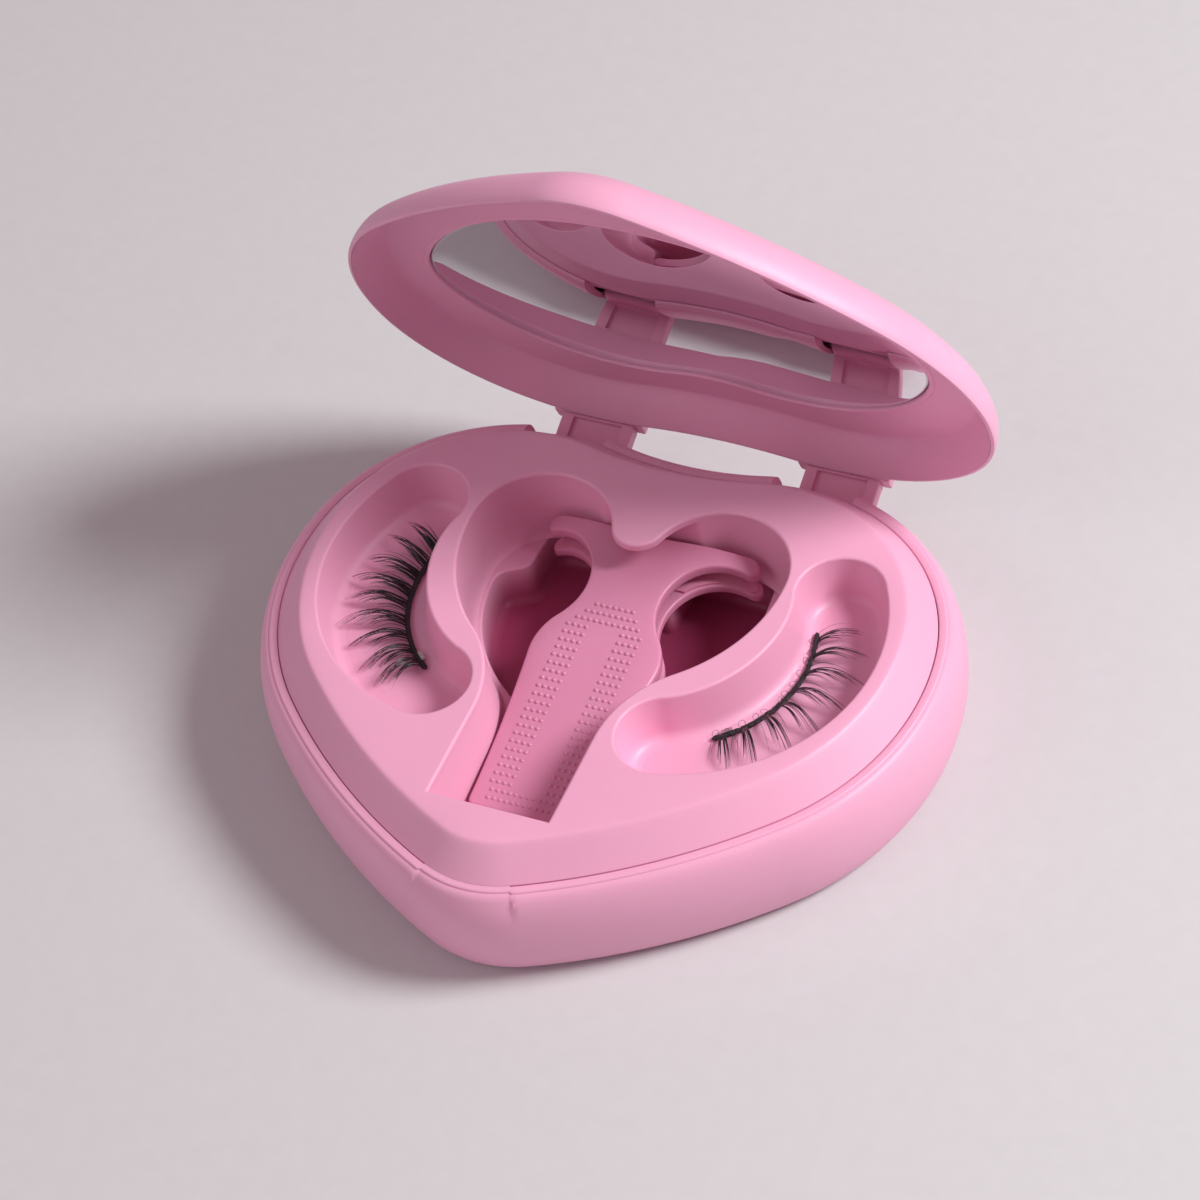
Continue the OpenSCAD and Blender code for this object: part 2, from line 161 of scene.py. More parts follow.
def ring(shape, d, z):
    """An outline moved out by d, at height z (numbers, or one value a point)."""
    p = shape[0] + shape[1] * (np.array(d)[..., None] if np.ndim(d) else d)
    return np.column_stack([p, np.broadcast_to(z, len(p))])


def spline(rows, n):
    """A smooth path through rows of numbers, with about n points in all."""
    rows = np.array(rows, float)
    gap = np.linalg.norm(np.diff(rows, axis=0), axis=1)
    t = np.concatenate([[0], np.cumsum(np.sqrt(gap))])
    out = []
    ext = np.vstack([2 * rows[0] - rows[1], rows, 2 * rows[-1] - rows[-2]])
    te = np.concatenate([[t[0] - (t[1] - t[0])], t, [t[-1] + (t[-1] - t[-2])]])
    for u in np.linspace(t[0], t[-1], n):
        i = min(max(int(np.searchsorted(t, u, side="right")), 1), len(rows) - 1)
        p0, p1, p2, p3 = ext[i - 1:i + 3]
        t0, t1, t2, t3 = te[i - 1:i + 3]
        a1 = (t1 - u) / (t1 - t0) * p0 + (u - t0) / (t1 - t0) * p1
        a2 = (t2 - u) / (t2 - t1) * p1 + (u - t1) / (t2 - t1) * p2
        a3 = (t3 - u) / (t3 - t2) * p2 + (u - t2) / (t3 - t2) * p3
        b1 = (t2 - u) / (t2 - t0) * a1 + (u - t0) / (t2 - t0) * a2
        b2 = (t3 - u) / (t3 - t1) * a2 + (u - t1) / (t3 - t1) * a3
        out.append((t2 - u) / (t2 - t1) * b1 + (u - t1) / (t2 - t1) * b2)
    return np.array(out)


def fillet(d0, z0, d1, z1, convex, n=5):
    """Quarter-round from (d0, z0) to (d1, z1) in offset and height. convex leaves d first."""
    out = []
    for k in range(n + 1):
        a = math.pi / 2 * k / n
        u, v = (math.sin(a), 1 - math.cos(a)) if convex else (1 - math.cos(a), math.sin(a))
        out.append((d0 + (d1 - d0) * u, z0 + (z1 - z0) * v))
    return out


# Meshes

class Shape:
    """Points and faces of one piece, in millimetres."""

    def __init__(self):
        self.verts, self.faces = [], []

    def add(self, pts):
        base = len(self.verts)
        self.verts.extend(tuple(map(float, p)) for p in pts)
        return list(range(base, base + len(pts)))

    def strip(self, a, b):
        """Faces between two closed loops of as many points."""
        n = len(a)
        for i in range(n):
            j = (i + 1) % n
            self.faces.append((a[i], a[j], b[j], b[i]))

    def loft(self, rings, cap_first=False, cap_last=False):
        """Joins rings of points one after the other, and returns their point numbers."""
        ids = [self.add(r) for r in rings]
        for a, b in zip(ids, ids[1:]):
            self.strip(a, b)
        if cap_first:
            self.faces.append(tuple(reversed(ids[0])))
        if cap_last:
            self.faces.append(tuple(ids[-1]))
        return ids

    def fill(self, outer, holes, inner=(), height=None, flip=False):
        """Triangles between loops of point numbers, with free points inside set to a height."""
        loops = [outer] + list(holes)
        flat = [Vector(self.verts[i][:2]) for lp in loops for i in lp] + [Vector(p) for p in inner]
        edges, k = [], 0
        for lp in loops:
            edges += [(k + i, k + (i + 1) % len(lp)) for i in range(len(lp))]
            k += len(lp)
        pts, _, faces, src, _, _ = delaunay_2d_cdt(flat, edges, [], 0, 1e-7, True)
        ids = [i for lp in loops for i in lp]
        table = []
        for p, s in zip(pts, src):
            if s and s[0] < len(ids):
                table.append(ids[s[0]])
            else:
                z = height(p.x, p.y) if height else self.verts[outer[0]][2]
                table.append(self.add([(p.x, p.y, z)])[0])
        polys = [np.array([self.verts[i][:2] for i in lp]) for lp in loops]
        for f in faces:
            c = np.mean([[pts[i].x, pts[i].y] for i in f], axis=0)
            if within(polys[0], c) and not any(within(q, c) for q in polys[1:]):
                t = tuple(table[i] for i in f)
                self.faces.append(tuple(reversed(t)) if flip else t)

    def make(self, name, body, mat, cover=(), opened=False, sharp=35, mirrored=False, slot=None):
        """The finished object in metres: mirrored, or turned about the hinge into the open lid."""
        v = np.array(self.verts) * MM
        if mirrored:
            v[:, 0] *= -1
        if opened:
            a = -math.radians(OPEN)
            y, z = v[:, 1] - HINGE[0] * MM, v[:, 2] - HINGE[1] * MM
            v[:, 1] = HINGE[0] * MM + y * math.cos(a) - z * math.sin(a)
            v[:, 2] = HINGE[1] * MM + y * math.sin(a) + z * math.cos(a)
        faces = [tuple(reversed(f)) for f in self.faces] if mirrored else self.faces
        me = bpy.data.meshes.new(name)
        me.from_pydata(v.tolist(), [], faces)
        me.update()
        me.materials.append(mat)
        me.polygons.foreach_set("use_smooth", [True] * len(me.polygons))
        me.set_sharp_from_angle(angle=math.radians(sharp))
        ob = bpy.data.objects.new(name, me)
        bpy.context.scene.collection.objects.link(ob)
        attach(ob, body)
        if cover:
            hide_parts(*cover)
        return ob


def within(poly, p):
    x, y = poly[:, 0], poly[:, 1]
    x2, y2 = np.roll(x, -1), np.roll(y, -1)
    cross = (y > p[1]) != (y2 > p[1])
    with np.errstate(divide="ignore", invalid="ignore"):
        at = x + (p[1] - y) * (x2 - x) / (y2 - y)
    return bool(np.sum(cross & (p[0] < at)) % 2)


def cut(ob, boxes):
    """Takes boxes (low corner, high corner, in millimetres) out of a piece."""
    for i, (lo, hi) in enumerate(boxes):
        lo, hi = Vector(lo) * MM, Vector(hi) * MM
        me = bpy.data.meshes.new("cutter")
        bm = bmesh.new()
        bmesh.ops.create_cube(bm, size=1)
        for v in bm.verts:
            v.co = Vector(((v.co[k] + 0.5) * (hi[k] - lo[k]) + lo[k]) for k in range(3))
        bm.to_mesh(me)
        bm.free()
        tool = bpy.data.objects.new("cutter", me)
        bpy.context.scene.collection.objects.link(tool)
        mod = ob.modifiers.new("cut", "BOOLEAN")
        mod.operation, mod.solver, mod.object = "DIFFERENCE", "EXACT", tool
        dg = bpy.context.evaluated_depsgraph_get()
        new = bpy.data.meshes.new_from_object(ob.evaluated_get(dg))
        ob.modifiers.remove(mod)
        ob.data = new
        bpy.data.objects.remove(tool)
    ob.data.polygons.foreach_set("use_smooth", [True] * len(ob.data.polygons))
    ob.data.set_sharp_from_angle(angle=math.radians(35))


# Materials

def new_material(name):
    m = bpy.data.materials.new(name)
    m.use_nodes = True
    t = m.node_tree
    bsdf = t.nodes["Principled BSDF"]
    coord = t.nodes.new("ShaderNodeTexCoord")
    return m, t, bsdf, coord


def noise(t, coord, scale, detail=3, rough=0.5, dist=0.0):
    n = t.nodes.new("ShaderNodeTexNoise")
    n.inputs["Scale"].default_value = scale
    n.inputs["Detail"].default_value = detail
    n.inputs["Roughness"].default_value = rough
    n.inputs["Distortion"].default_value = dist
    t.links.new(coord.outputs["Object"], n.inputs["Vector"])
    return n


def remap(t, src, lo, hi, a=0.3, b=0.7):
    n = t.nodes.new("ShaderNodeMapRange")
    n.inputs["From Min"].default_value = a
    n.inputs["From Max"].default_value = b
    n.inputs["To Min"].default_value = lo
    n.inputs["To Max"].default_value = hi
    t.links.new(src, n.inputs["Value"])
    return n.outputs["Result"]


def blend_colour(t, fac, a, b):
    n = t.nodes.new("ShaderNodeMix")
    n.data_type = "RGBA"
    t.links.new(fac, n.inputs["Factor"])
    for socket, value in ((n.inputs["A"], a), (n.inputs["B"], b)):
        if isinstance(value, tuple):
            socket.default_value = (*value, 1)
        else:
            t.links.new(value, socket)
    return n.outputs["Result"]


def plastic(name, colour, rough=0.42, skin=0.12, grain=0.06, coat=0.0, painted_shade=None):
    """Moulded plastic: faint flow marks in the colour, fine spark-eroded grain, soft sheen.
    The colour given as painted_shade is painted in lower down, towards the groove floor and into the pocket:
    painted shade where little light gets in."""
    m, t, bsdf, coord = new_material(name)
    flow = noise(t, coord, 22, 3, 0.5, 0.6)
    darker = tuple(c * 0.955 for c in colour)
    lighter = tuple(min(1, c * 1.03) for c in colour)
    base = blend_colour(t, remap(t, flow.outputs["Fac"], 0, 1), darker, lighter)
    if painted_shade:
        # Painted shade: the colour darkens towards the pocket floor and fades out just above the groove floor
        split = t.nodes.new("ShaderNodeSeparateXYZ")
        t.links.new(coord.outputs["Object"], split.inputs["Vector"])
        pocket_shade_fac = remap(t, split.outputs["Z"], 1, 0, POCKET * MM, (GROOVE + 0.6) * MM)
        base = blend_colour(t, pocket_shade_fac, base, painted_shade)
    t.links.new(base, bsdf.inputs["Base Color"])
    fine = noise(t, coord, 2600, 2, 0.6)
    patch = noise(t, coord, 140, 4, 0.6)
    t.links.new(remap(t, patch.outputs["Fac"], rough - 0.035, rough + 0.045), bsdf.inputs["Roughness"])
    bump = t.nodes.new("ShaderNodeBump")
    bump.inputs["Strength"].default_value = grain
    bump.inputs["Distance"].default_value = 0.00012
    t.links.new(fine.outputs["Fac"], bump.inputs["Height"])
    t.links.new(bump.outputs["Normal"], bsdf.inputs["Normal"])
    bsdf.inputs["IOR"].default_value = 1.48
    bsdf.inputs["Subsurface Weight"].default_value = skin
    bsdf.inputs["Subsurface Radius"].default_value = (1.0, 0.35, 0.45)
    bsdf.inputs["Subsurface Scale"].default_value = 0.0022
    bsdf.inputs["Coat Weight"].default_value = coat
    bsdf.inputs["Coat Roughness"].default_value = 0.3
    return m


def metal(name, colour, rough, stretch=(1, 1, 1)):
    """Bare or plated metal, with its grain drawn out by stretch."""
    m, t, bsdf, coord = new_material(name)
    mapping = t.nodes.new("ShaderNodeMapping")
    mapping.inputs["Scale"].default_value = stretch
    t.links.new(coord.outputs["Object"], mapping.inputs["Vector"])
    n = noise(t, coord, 900, 3)
    t.links.new(mapping.outputs["Vector"], n.inputs["Vector"])
    bsdf.inputs["Metallic"].default_value = 1
    shade = blend_colour(t, n.outputs["Fac"], tuple(c * 0.85 for c in colour), colour)
    t.links.new(shade, bsdf.inputs["Base Color"])
    t.links.new(remap(t, n.outputs["Fac"], rough * 0.8, rough * 1.3), bsdf.inputs["Roughness"])
    return m


def mirror_material():
    """Silvered glass with the faintest haze."""
    m, t, bsdf, coord = new_material("mirror_silver")
    haze = noise(t, coord, 45, 4, 0.65)
    bsdf.inputs["Metallic"].default_value = 1
    shade = blend_colour(t, haze.outputs["Fac"], (0.84, 0.86, 0.87), (0.88, 0.9, 0.91))
    t.links.new(shade, bsdf.inputs["Base Color"])
    t.links.new(remap(t, haze.outputs["Fac"], 0.004, 0.02), bsdf.inputs["Roughness"])
    return m


def glass_edge_material():
    """The ground edge of the glass, greenish and half matt."""
    m, t, bsdf, coord = new_material("mirror_ground_edge")
    n = noise(t, coord, 1200, 3)
    shade = blend_colour(t, n.outputs["Fac"], (0.62, 0.7, 0.7), (0.8, 0.86, 0.86))
    t.links.new(shade, bsdf.inputs["Base Color"])
    t.links.new(remap(t, n.outputs["Fac"], 0.08, 0.25), bsdf.inputs["Roughness"])
    bsdf.inputs["Metallic"].default_value = 0.3
    return m


def fibre_material(name, colour, rough, grain):
    """Hair, thread or foam: a mottled colour with a fine bump."""
    m, t, bsdf, coord = new_material(name)
    n = noise(t, coord, 1500, 3)
    dark, light = (tuple(c * k for c in colour) for k in (0.6, 1.5))
    t.links.new(blend_colour(t, n.outputs["Fac"], dark, light), bsdf.inputs["Base Color"])
    t.links.new(remap(t, n.outputs["Fac"], rough - 0.08, rough + 0.08), bsdf.inputs["Roughness"])
    bump = t.nodes.new("ShaderNodeBump")
    bump.inputs["Strength"].default_value = grain
    bump.inputs["Distance"].default_value = 0.0001
    t.links.new(n.outputs["Fac"], bump.inputs["Height"])
    t.links.new(bump.outputs["Normal"], bsdf.inputs["Normal"])
    return m


PINK = (0.84, 0.405, 0.575)
SHELL = plastic("shell_plastic", PINK, 0.46)
# The tray takes painted shade, darker towards the groove floor and the pocket
TRAY = plastic("tray_plastic", PINK, 0.43, painted_shade=(0.42, 0.06, 0.16))
TOOL = plastic("applicator_plastic", (0.68, 0.27, 0.42), 0.38, coat=0.1)
STRIP = plastic("jaw_strip_rubber", (0.74, 0.27, 0.42), 0.6, grain=0.15)
STEEL = metal("pin_steel", (0.72, 0.72, 0.74), 0.25, (1, 30, 30))
PLATED = metal("magnet_plating", (0.66, 0.65, 0.63), 0.3)
SILVER = mirror_material()
EDGE = glass_edge_material()
BAND = fibre_material("lash_band_cotton", (0.014, 0.012, 0.013), 0.5, 0.4)
HAIR = fibre_material("lash_hair_fibre", (0.012, 0.010, 0.011), 0.36, 0.1)
PAPER = fibre_material("tape_foam", (0.75, 0.74, 0.7), 0.8, 0.3)

heart = outline(*HEART)
mirror_shape = outline(*MIRROR)


# Base shell

def base_shell():
    turn, low, drop = 4.15, BULGE_Z, BULGE - RIM_W
    out = []
    for k in range(15):
        a = math.pi / 2 * k / 14
        out.append((BULGE - turn * (1 - math.sin(a)), low * (1 - math.cos(a))))
    for k in range(1, 13):
        a = math.pi / 2 * k / 12
        out.append((RIM_W + drop * math.cos(a), low + (RIM - 0.35 - low) * math.sin(a)))
    out += fillet(RIM_W, RIM - 0.35, RIM_W - 0.35, RIM, False, 4)[1:]
    out += fillet(0.12 + 0.25, RIM, 0.12, RIM - 0.25, True, 3)
    out += [(0.12, 16.5), (-1.0, 16.5), (-1.0, 15.2), (1.6, 13.6), (BULGE - 1.6, low), (1.8, 6.9),
            (0, 3.2), (-2.4, 1.8)]
    s = Shape()
    n_front = HEART[1][0][2] + 1
    total = len(heart[0])
    relief = np.zeros(total)
    relief[:n_front] = 1
    relief[total - n_front + 1:] = 1
    relief_z, relief_rise, relief_d, outer_rings = 13.6, 3.4, 0.34, 32
    rings = []
    for i, (d, z) in enumerate(out):
        dd = np.full(total, d)
        if z > relief_z and i < outer_rings:
            line = d - relief_d * min(1.0, (z - relief_z) / relief_rise) ** 1.6
            dd = np.where(relief > 0, np.minimum(dd, line), dd)
        rings.append(ring(heart, dd, z))
    s.loft(rings, cap_first=True, cap_last=True)
    ob = s.make("base_shell_moulding", "base", SHELL, ["base_shell"], slot="shell")
    # Bays for the hinge arms: above the pin, under the rim and round the knuckle
    half, room, past, over = 6.75, 3.5, 60, 40
    boxes = []
    for side in (-1, 1):
        x0, x1 = side * ARM_X - half, side * ARM_X + half
        boxes.append(((x0, HINGE[0] - 0.12, HINGE[1]), (x1, past, over)))
        boxes.append(((x0, HINGE[0] - room, 16.5), (x1, past, over)))
        boxes.append(((x0, HINGE[0] - room, HINGE[1] - room), (x1, past, HINGE[1] + room)))
    cut(ob, boxes)


# Tray

def crescent():
    """Points and outward normals of the right lash well at deck height."""
    n, m, r = 90, 26, 24.2
    a0, a1 = 23.8, -73.4
    pts, nrm = [], []

    def half(s):
        return 6.8 + 0.2 * s + 1.45 * math.sin(math.pi * s)

    def pol(c, rr, a):
        return c + rr * np.array([math.cos(math.radians(a)), math.sin(math.radians(a))])

    for i in range(n, 0, -1):
        s = i / n
        pts.append(pol(WELL_C, r + half(s), a0 + (a1 - a0) * s))
    for i in range(m):
        pts.append(pol(pol(WELL_C, r, a0), half(0), a0 + 180 * i / m))
    for i in range(n):
        s = i / n
        pts.append(pol(WELL_C, r - half(s), a0 + (a1 - a0) * s))
    for i in range(m):
        pts.append(pol(pol(WELL_C, r, a1), half(1), a1 + 180 + 180 * i / m))
    pts = np.array(pts)
    d = np.roll(pts, -1, axis=0) - np.roll(pts, 1, axis=0)
    d /= np.linalg.norm(d, axis=1)[:, None]
    return pts, np.column_stack([d[:, 1], -d[:, 0]])


def middle():
    """Outline of the middle well, mitred at its front corners, and how far each point belongs to a lobe."""
    gh, gf = GROOVE_HALF, GROOVE_END
    pts = [np.array([gh * k / 12, gf]) for k in range(12)]
    nrm = [np.array([0, -1.0])] * 12
    weight = [0.0] * 12
    pts.append(np.array([gh, gf]))
    nrm.append(np.array([1.0, -1.0]))
    weight.append(0.0)
    side = [np.array([gh, gf + 16.4 * k / 16]) for k in range(1, 16)]
    pts += side
    nrm += [np.array([1.0, 0])] * len(side)
    weight += [0.0] * len(side)
    legs = [(-19.1, 49.7, 30), (26.7, 51.4, 36), (11.2, 159.2, 60)]
    p, n, q, h = walk((gh, gf + 16.4), 90, legs)
    pts += p
    nrm += n
    weight += [min(1.0, i / 30) ** 1.5 for i in range(30)] + [1.0] * 96
    steps = 24
    r = q[0] / math.sin(h)
    c = q - r * beside(h)
    for k in range(steps + 1):
        t = h + (math.pi - h) * k / steps
        pts.append(c + r * beside(t))
        nrm.append(beside(t))
    weight += [1.0] * (steps + 1)
    shape = both_sides(pts, nrm)
    w = np.array(weight)
    return shape, np.concatenate([w, w[-2:0:-1]])


def pocket_outline():
    legs = [(0, 8.13, 10), (4, 37.3, 10), (0, 4, 5), (24.1, 50, 24), (2, 63, 10), (0, 2.2, 3), (-3, 56, 10),
            (0, 4.6, 4), (2.2, 85.2, 10)]
    return outline(-4.51, legs, 12)


def inner_tray():
    s = Shape()
    skirt = [(0, 16.5), (0, RIM - 0.4), (0, RIM)]
    slope = spline([(0, RIM), (-0.5, RIM + 0.55), (-RUN * 0.9, DECK - 0.55)], 10)[1:]
    edge = spline([(-RUN * 0.9, DECK - 0.55), (-RUN * 1.02, DECK - 0.13), (-RUN * 1.19, DECK)], 8)[1:]
    rings = [ring(heart, d, z) for d, z in [*skirt, *slope, *edge]]
    inside = [(-1.2, 16.5), (-1.2, 17.2)]
    low = [ring(heart, d, z) for d, z in reversed(inside)]
    ids = s.loft(low + rings)
    deck = ids[-1]
    holes = []
    well = crescent()
    for side in (1, -1):
        shape = well if side == 1 else (well[0][::-1] * [-1, 1], well[1][::-1] * [-1, 1])
        prof = fillet(LIP_R, DECK, 0, DECK - LIP_R, True, 4)
        prof += [(-0.25, DECK - 2), (-0.8, WELL + 2.4)]
        foot = [(-0.8, WELL + 2.4), (-1.15, WELL + 1.0), (-1.9, WELL + 0.25), (-3.0, WELL)]
        prof += spline(foot, 9)[1:].tolist()
        top = s.loft([ring(shape, d, z)[::-1] for d, z in prof])
        s.faces.append(tuple(reversed(top[-1])))
        holes.append(list(reversed(top[0])))
    well, weight = middle()
    brim = fillet(LIP_R, DECK, 0, DECK - LIP_R, True, 4) + [(0, 23.0), (0, 22.4)]
    rings = [ring(well, d, z) for d, z in brim]
    # Drafted walls: the lobes and the straight groove, blended by weight along the outline
    lobes = [(0, 22.4), (-0.1, 20), (-0.22, 17), (-0.3, 14.7), (-0.42, 12.8), (-0.6, 11.5),
             (-0.85, 10.7), (-1.25, GROOVE + 0.5)]
    groove = [(0, 22.4), (-0.17, 20), (-0.38, 17), (-0.55, 14.7), (-0.7, 12.8), (-0.8, 11.3),
              (-0.9, 10.2), (-1.1, GROOVE)]
    lobes, groove = spline(lobes, 16), spline(groove, 16)
    # The head of the applicator tilts in the hollow under the cusp
    cusp_half, cusp_back = 8.4, 27.35
    for (dl, zl), (dg, zg) in zip(lobes, groove):
        d = weight * dl + (1 - weight) * dg
        z = weight * zl + (1 - weight) * zg
        under = ring(well, d, z)
        back = (np.abs(under[:, 0]) < cusp_half) & (under[:, 1] > 15)
        under[:, 1] = np.where(back, np.maximum(under[:, 1], cusp_back + d), under[:, 1])
        rings.append(under)
    mids = s.loft([r[::-1] for r in rings])
    holes.append(list(reversed(mids[0])))
    s.fill(deck, holes)
    pocket = pocket_outline()
    ledge = GROOVE + 0.5 * np.clip((pocket[0][:, 1] + 4.5) / 6, 0, 1)
    prof = fillet(1.05, 0, 0.75, -0.35, True, 4)
    hole = [ring(pocket, d, ledge + z)[::-1] for d, z in prof]
    prof = [(0.6, 7), (0.3, 5)] + fillet(0.3, 5, -1.2, POCKET, False, 4)[1:]
    hole = s.loft(hole + [ring(pocket, d, z)[::-1] for d, z in prof])
    s.faces.append(tuple(reversed(hole[-1])))
    s.fill(list(reversed(mids[-1])), [list(reversed(hole[0]))])
    s.make("inner_tray_moulding", "base", TRAY, ["inner_tray"], slot="tray")


def pedestal():
    """Block in the pocket that the head of the applicator rests on."""
    s = Shape()
    legs = [(0, 3.4, 3), (1.2, 90, 6), (0, 6, 4), (1.2, 89.9, 6)]
    shape = outline(19.6, legs, 4)
    prof = [(0.3, POCKET), (0.0, POCKET + 0.6), (-0.1, 11.1)] + fillet(-0.1, 11.1, -0.5, 11.45, False, 3)[1:]
    s.loft([ring(shape, d, z) for d, z in prof], cap_first=True, cap_last=True)
    s.make("tray_pedestal", "base", TRAY, slot="tray")


# Lid

def crown_rings(edge, d, tops, n):
    """Rings of the dome: an edge path of (offset, height), then the last ring drawn to the middle."""
    reach = 30
    rows = [(a, z, reach) for a, z in edge] + [(d, z, k * reach) for k, z in tops]
    path = spline(rows, n)
    out = []
    for a, z, k in path:
        r = ring(heart, a, RIM + z)
        r[:, :2] *= k / reach
        out.append(r)
    return out


def lid_shell():
    s = Shape()
    edge = [(0.38, 0.25), (0.58, 0.4), (0.68, 1.0), (0.58, 2.2), (-0.02, 4.0), (-1.4, 5.75),
            (-3.6, 7.15), (-5.8, 8.0), (-9.4, 8.95), (-14, DOME - 1.05)]
    tops = [(0.72, DOME - 0.55), (0.42, DOME - 0.2), (0.16, DOME - 0.03), (0.02, DOME)]
    outer = crown_rings(edge, -14, tops, 52)
    rim = [ring(heart, d, RIM + z) for d, z in [(0.04, 0.25), (0.02, 1.75), (-0.36, 1.75), (-0.42, 2.6)]]
    inner = crown_rings([(-1.0, 3.8), (-2.5, 5.3), (-4.6, 6.5), (-8, 7.75), (-14, DOME - 2.2)], -14,
                        [(0.72, DOME - 1.9), (0.42, DOME - 1.6), (0.16, DOME - 1.4)], 14)
    s.loft(inner[::-1] + rim[::-1] + outer, cap_first=True, cap_last=True)
    s.make("lid_shell_moulding", "lid", SHELL, ["lid_shell"], opened=True, slot="shell")


def lid_pads():
    """The two thick pads at the back of the lid that the arms go up into."""
    back = ARM_FRONT + ARM_T + 0.4
    prof = [(41.3, 19.05), (back - 0.3, 19.05), (back, 19.35), (back, 21.4), (back - 0.25, 22.3),
            (back - 0.9, 22.95), (back - 1.7, 23.45), (back - 2.6, 23.85), (39.4, 24.45), (37.5, 24.85)]
    half = 7.6
    # Sections across a pad: place, and how far its back is drawn in there
    slices = [(-half, 0.5), (-half + 0.12, 0.15), (-half + 0.45, 0.0), (half - 0.45, 0.0),
              (half - 0.12, 0.15), (half, 0.5)]
    for side in (-1, 1):
        s = Shape()
        rows = []
        for x, k in slices:
            rows.append([(side * ARM_X + x, y - (k if y > 41.4 else 0), z) for y, z in prof])
        ids = [s.add(r) for r in rows]
        for a, b in zip(ids, ids[1:]):
            s.strip(b, a)
        s.faces.append(tuple(ids[0]))
        s.faces.append(tuple(reversed(ids[-1])))
        name = "right" if side == 1 else "left"
        s.make(f"{name}_lid_pad", "lid", SHELL, opened=True, sharp=30, slot="shell")


def mirror_frame():
    """Lining of the lid. Its path follows the mirror (m) and then the heart (h)."""
    s = Shape()
    top = FRAME_RISE + 1.4
    path = [("m", 0.15, top), ("m", 0.1, 5.7)]
    path += [("m", d, z) for d, z in fillet(0.1, 5.62, 0.32, 5.4, False, 3)]
    path += [("m", d, z) for d, z in fillet(0.68, 5.4, 0.9, 5.55, True, 3)]
    path += [("m", 1.1, FRAME_RISE), ("m", 2.2, FRAME_RISE)]
    path += [("h", -4.6, FRAME_RISE), ("h", -4.1, FRAME_RISE)]
    slope = [(-3.95, FRAME_RISE - 0.02), (-3.6, FRAME_RISE - 0.3), (-2.15, 3.3), (-0.2, 0.5), (-0.02, 0.25)]
    path += [("h", d, z) for d, z in spline(slope, 9)]
    path += [("h", -0.02, 1.75), ("h", -0.42, 1.75), ("h", -3.2, 5.7), ("h", -3.6, 6.2)]
    path += [("m", 1.4, 6.7), ("m", 1.4, top + 0.4)]
    rings = [ring(mirror_shape if k == "m" else heart, d, RIM + z) for k, d, z in path]
    s.loft(rings, cap_first=True, cap_last=True)
    s.make("mirror_frame_moulding", "lid", SHELL, ["mirror_frame"], opened=True, sharp=30,
           slot="frame")


def mirror_glass():
    s = Shape()
    back = RIM + FRAME_RISE + 1.2
    front = back - 1.0
    prof = [(-0.45, front), (-0.2, front + 0.06), (0, front + 0.3), (0, back)]
    s.loft([ring(mirror_shape, d, z) for d, z in prof], cap_first=True, cap_last=True)
    ob = s.make("mirror_pane", "lid", SILVER, ["mirror_glass"], opened=True, sharp=20, slot="mirror")
    ob.data.materials.append(EDGE)
    n = len(mirror_shape[0])
    for f in ob.data.polygons[:3 * n]:
        f.material_index = 1


# Applicator

def sag(x):
    return JAW_R - math.sqrt(JAW_R ** 2 - max(0.0, abs(x) - CROWN) ** 2)


def tool_outline():
    legs = [(0, 7.0, 8), (1.3, 88.9, 8), (-235, 6.7, 20), (9, 47.5, 16), (-9.9, 130, 44), (1.5, 192.7, 22)]
    return outline(TAIL_Y, legs, 30)


def blade(name, body, cover, z0, tilt, z_low, r):
    """One layer of the applicator: bent down to either side, with rounded edges of radius r."""
    s = Shape()
    shape = tool_outline()
    slope = math.tan(tilt)

    def height(x, y, base):
        return z0 + (y - TAIL_Y) * slope + base - sag(x)

    def level(dd, base):
        p = shape[0] + shape[1] * dd
        return [(x, y, height(x, y, base)) for x, y in p]

    rings = [level(dd, b) for dd, b in fillet(-r, z_low, 0, z_low + r, True, 3)]
    rings += [level(dd, b) for dd, b in fillet(0, BLADE_T - r, -r, BLADE_T, False, 4)]
    ids = s.loft(rings)
    poly = np.array([v[:2] for v in rings[-1]])
    grid = []
    for x in np.arange(-18, 18.1, 1.0):
        for y in np.arange(TAIL_Y, 30, 1.0):
            q = np.array([x, y])
            if within(poly, q) and np.min(np.linalg.norm(poly - q, axis=1)) > 0.45:
                grid.append((x, y))
    s.fill(ids[-1], [], grid, lambda x, y: height(x, y, BLADE_T))
    s.fill(ids[0], [], grid, lambda x, y: height(x, y, z_low), flip=True)
    s.make(name, body, TOOL, cover, sharp=60, slot="applicator")


def grip_dots():
    """Raised dots on the upper blade: three rows at the top, four columns a side, two at the tail."""
    spots = []
    pitch_x, pitch_y, y_top = 1.0, 1.48, 11.8
    for row in range(26):
        y = y_top - pitch_y * row
        if row == 0:
            xs = [k * pitch_x for k in range(-3, 4)]
        elif row == 1:
            xs = [k * pitch_x for k in range(-4, 5)]
        elif row == 2:
            xs = [k * pitch_x for k in range(-5, 6)]
        elif row >= 24:
            xs = [(k - 0.5) * pitch_x * 0.98 for k in range(-5, 7)]
        else:
            xs = [side * (2.95 + k * pitch_x) for side in (-1, 1) for k in range(4)]
        spots += [(x, y, 1 - 0.35 * row / 25) for x in xs]
    s = Shape()
    slope = math.tan(UP_TILT)
    for x, y, k in spots:
        r, h = 0.37 * (0.85 + 0.15 * k), 0.36 * k
        zc = UPPER_Z + (y - TAIL_Y) * slope + BLADE_T - sag(x)
        rings = []
        for a in (0, 25, 50, 72):
            rr, hh = r * math.cos(math.radians(a)), h * math.sin(math.radians(a))
            rings.append([(x + rr * math.cos(t), y + rr * math.sin(t),
                           zc + hh - 0.02 + rr * math.sin(t) * slope)
                          for t in np.linspace(0, 2 * math.pi, 10, endpoint=False)])
        s.loft(rings, cap_last=True)
    s.make("grip_dots", "squeezed_blade", TOOL, sharp=60, slot="applicator")


# Lashes

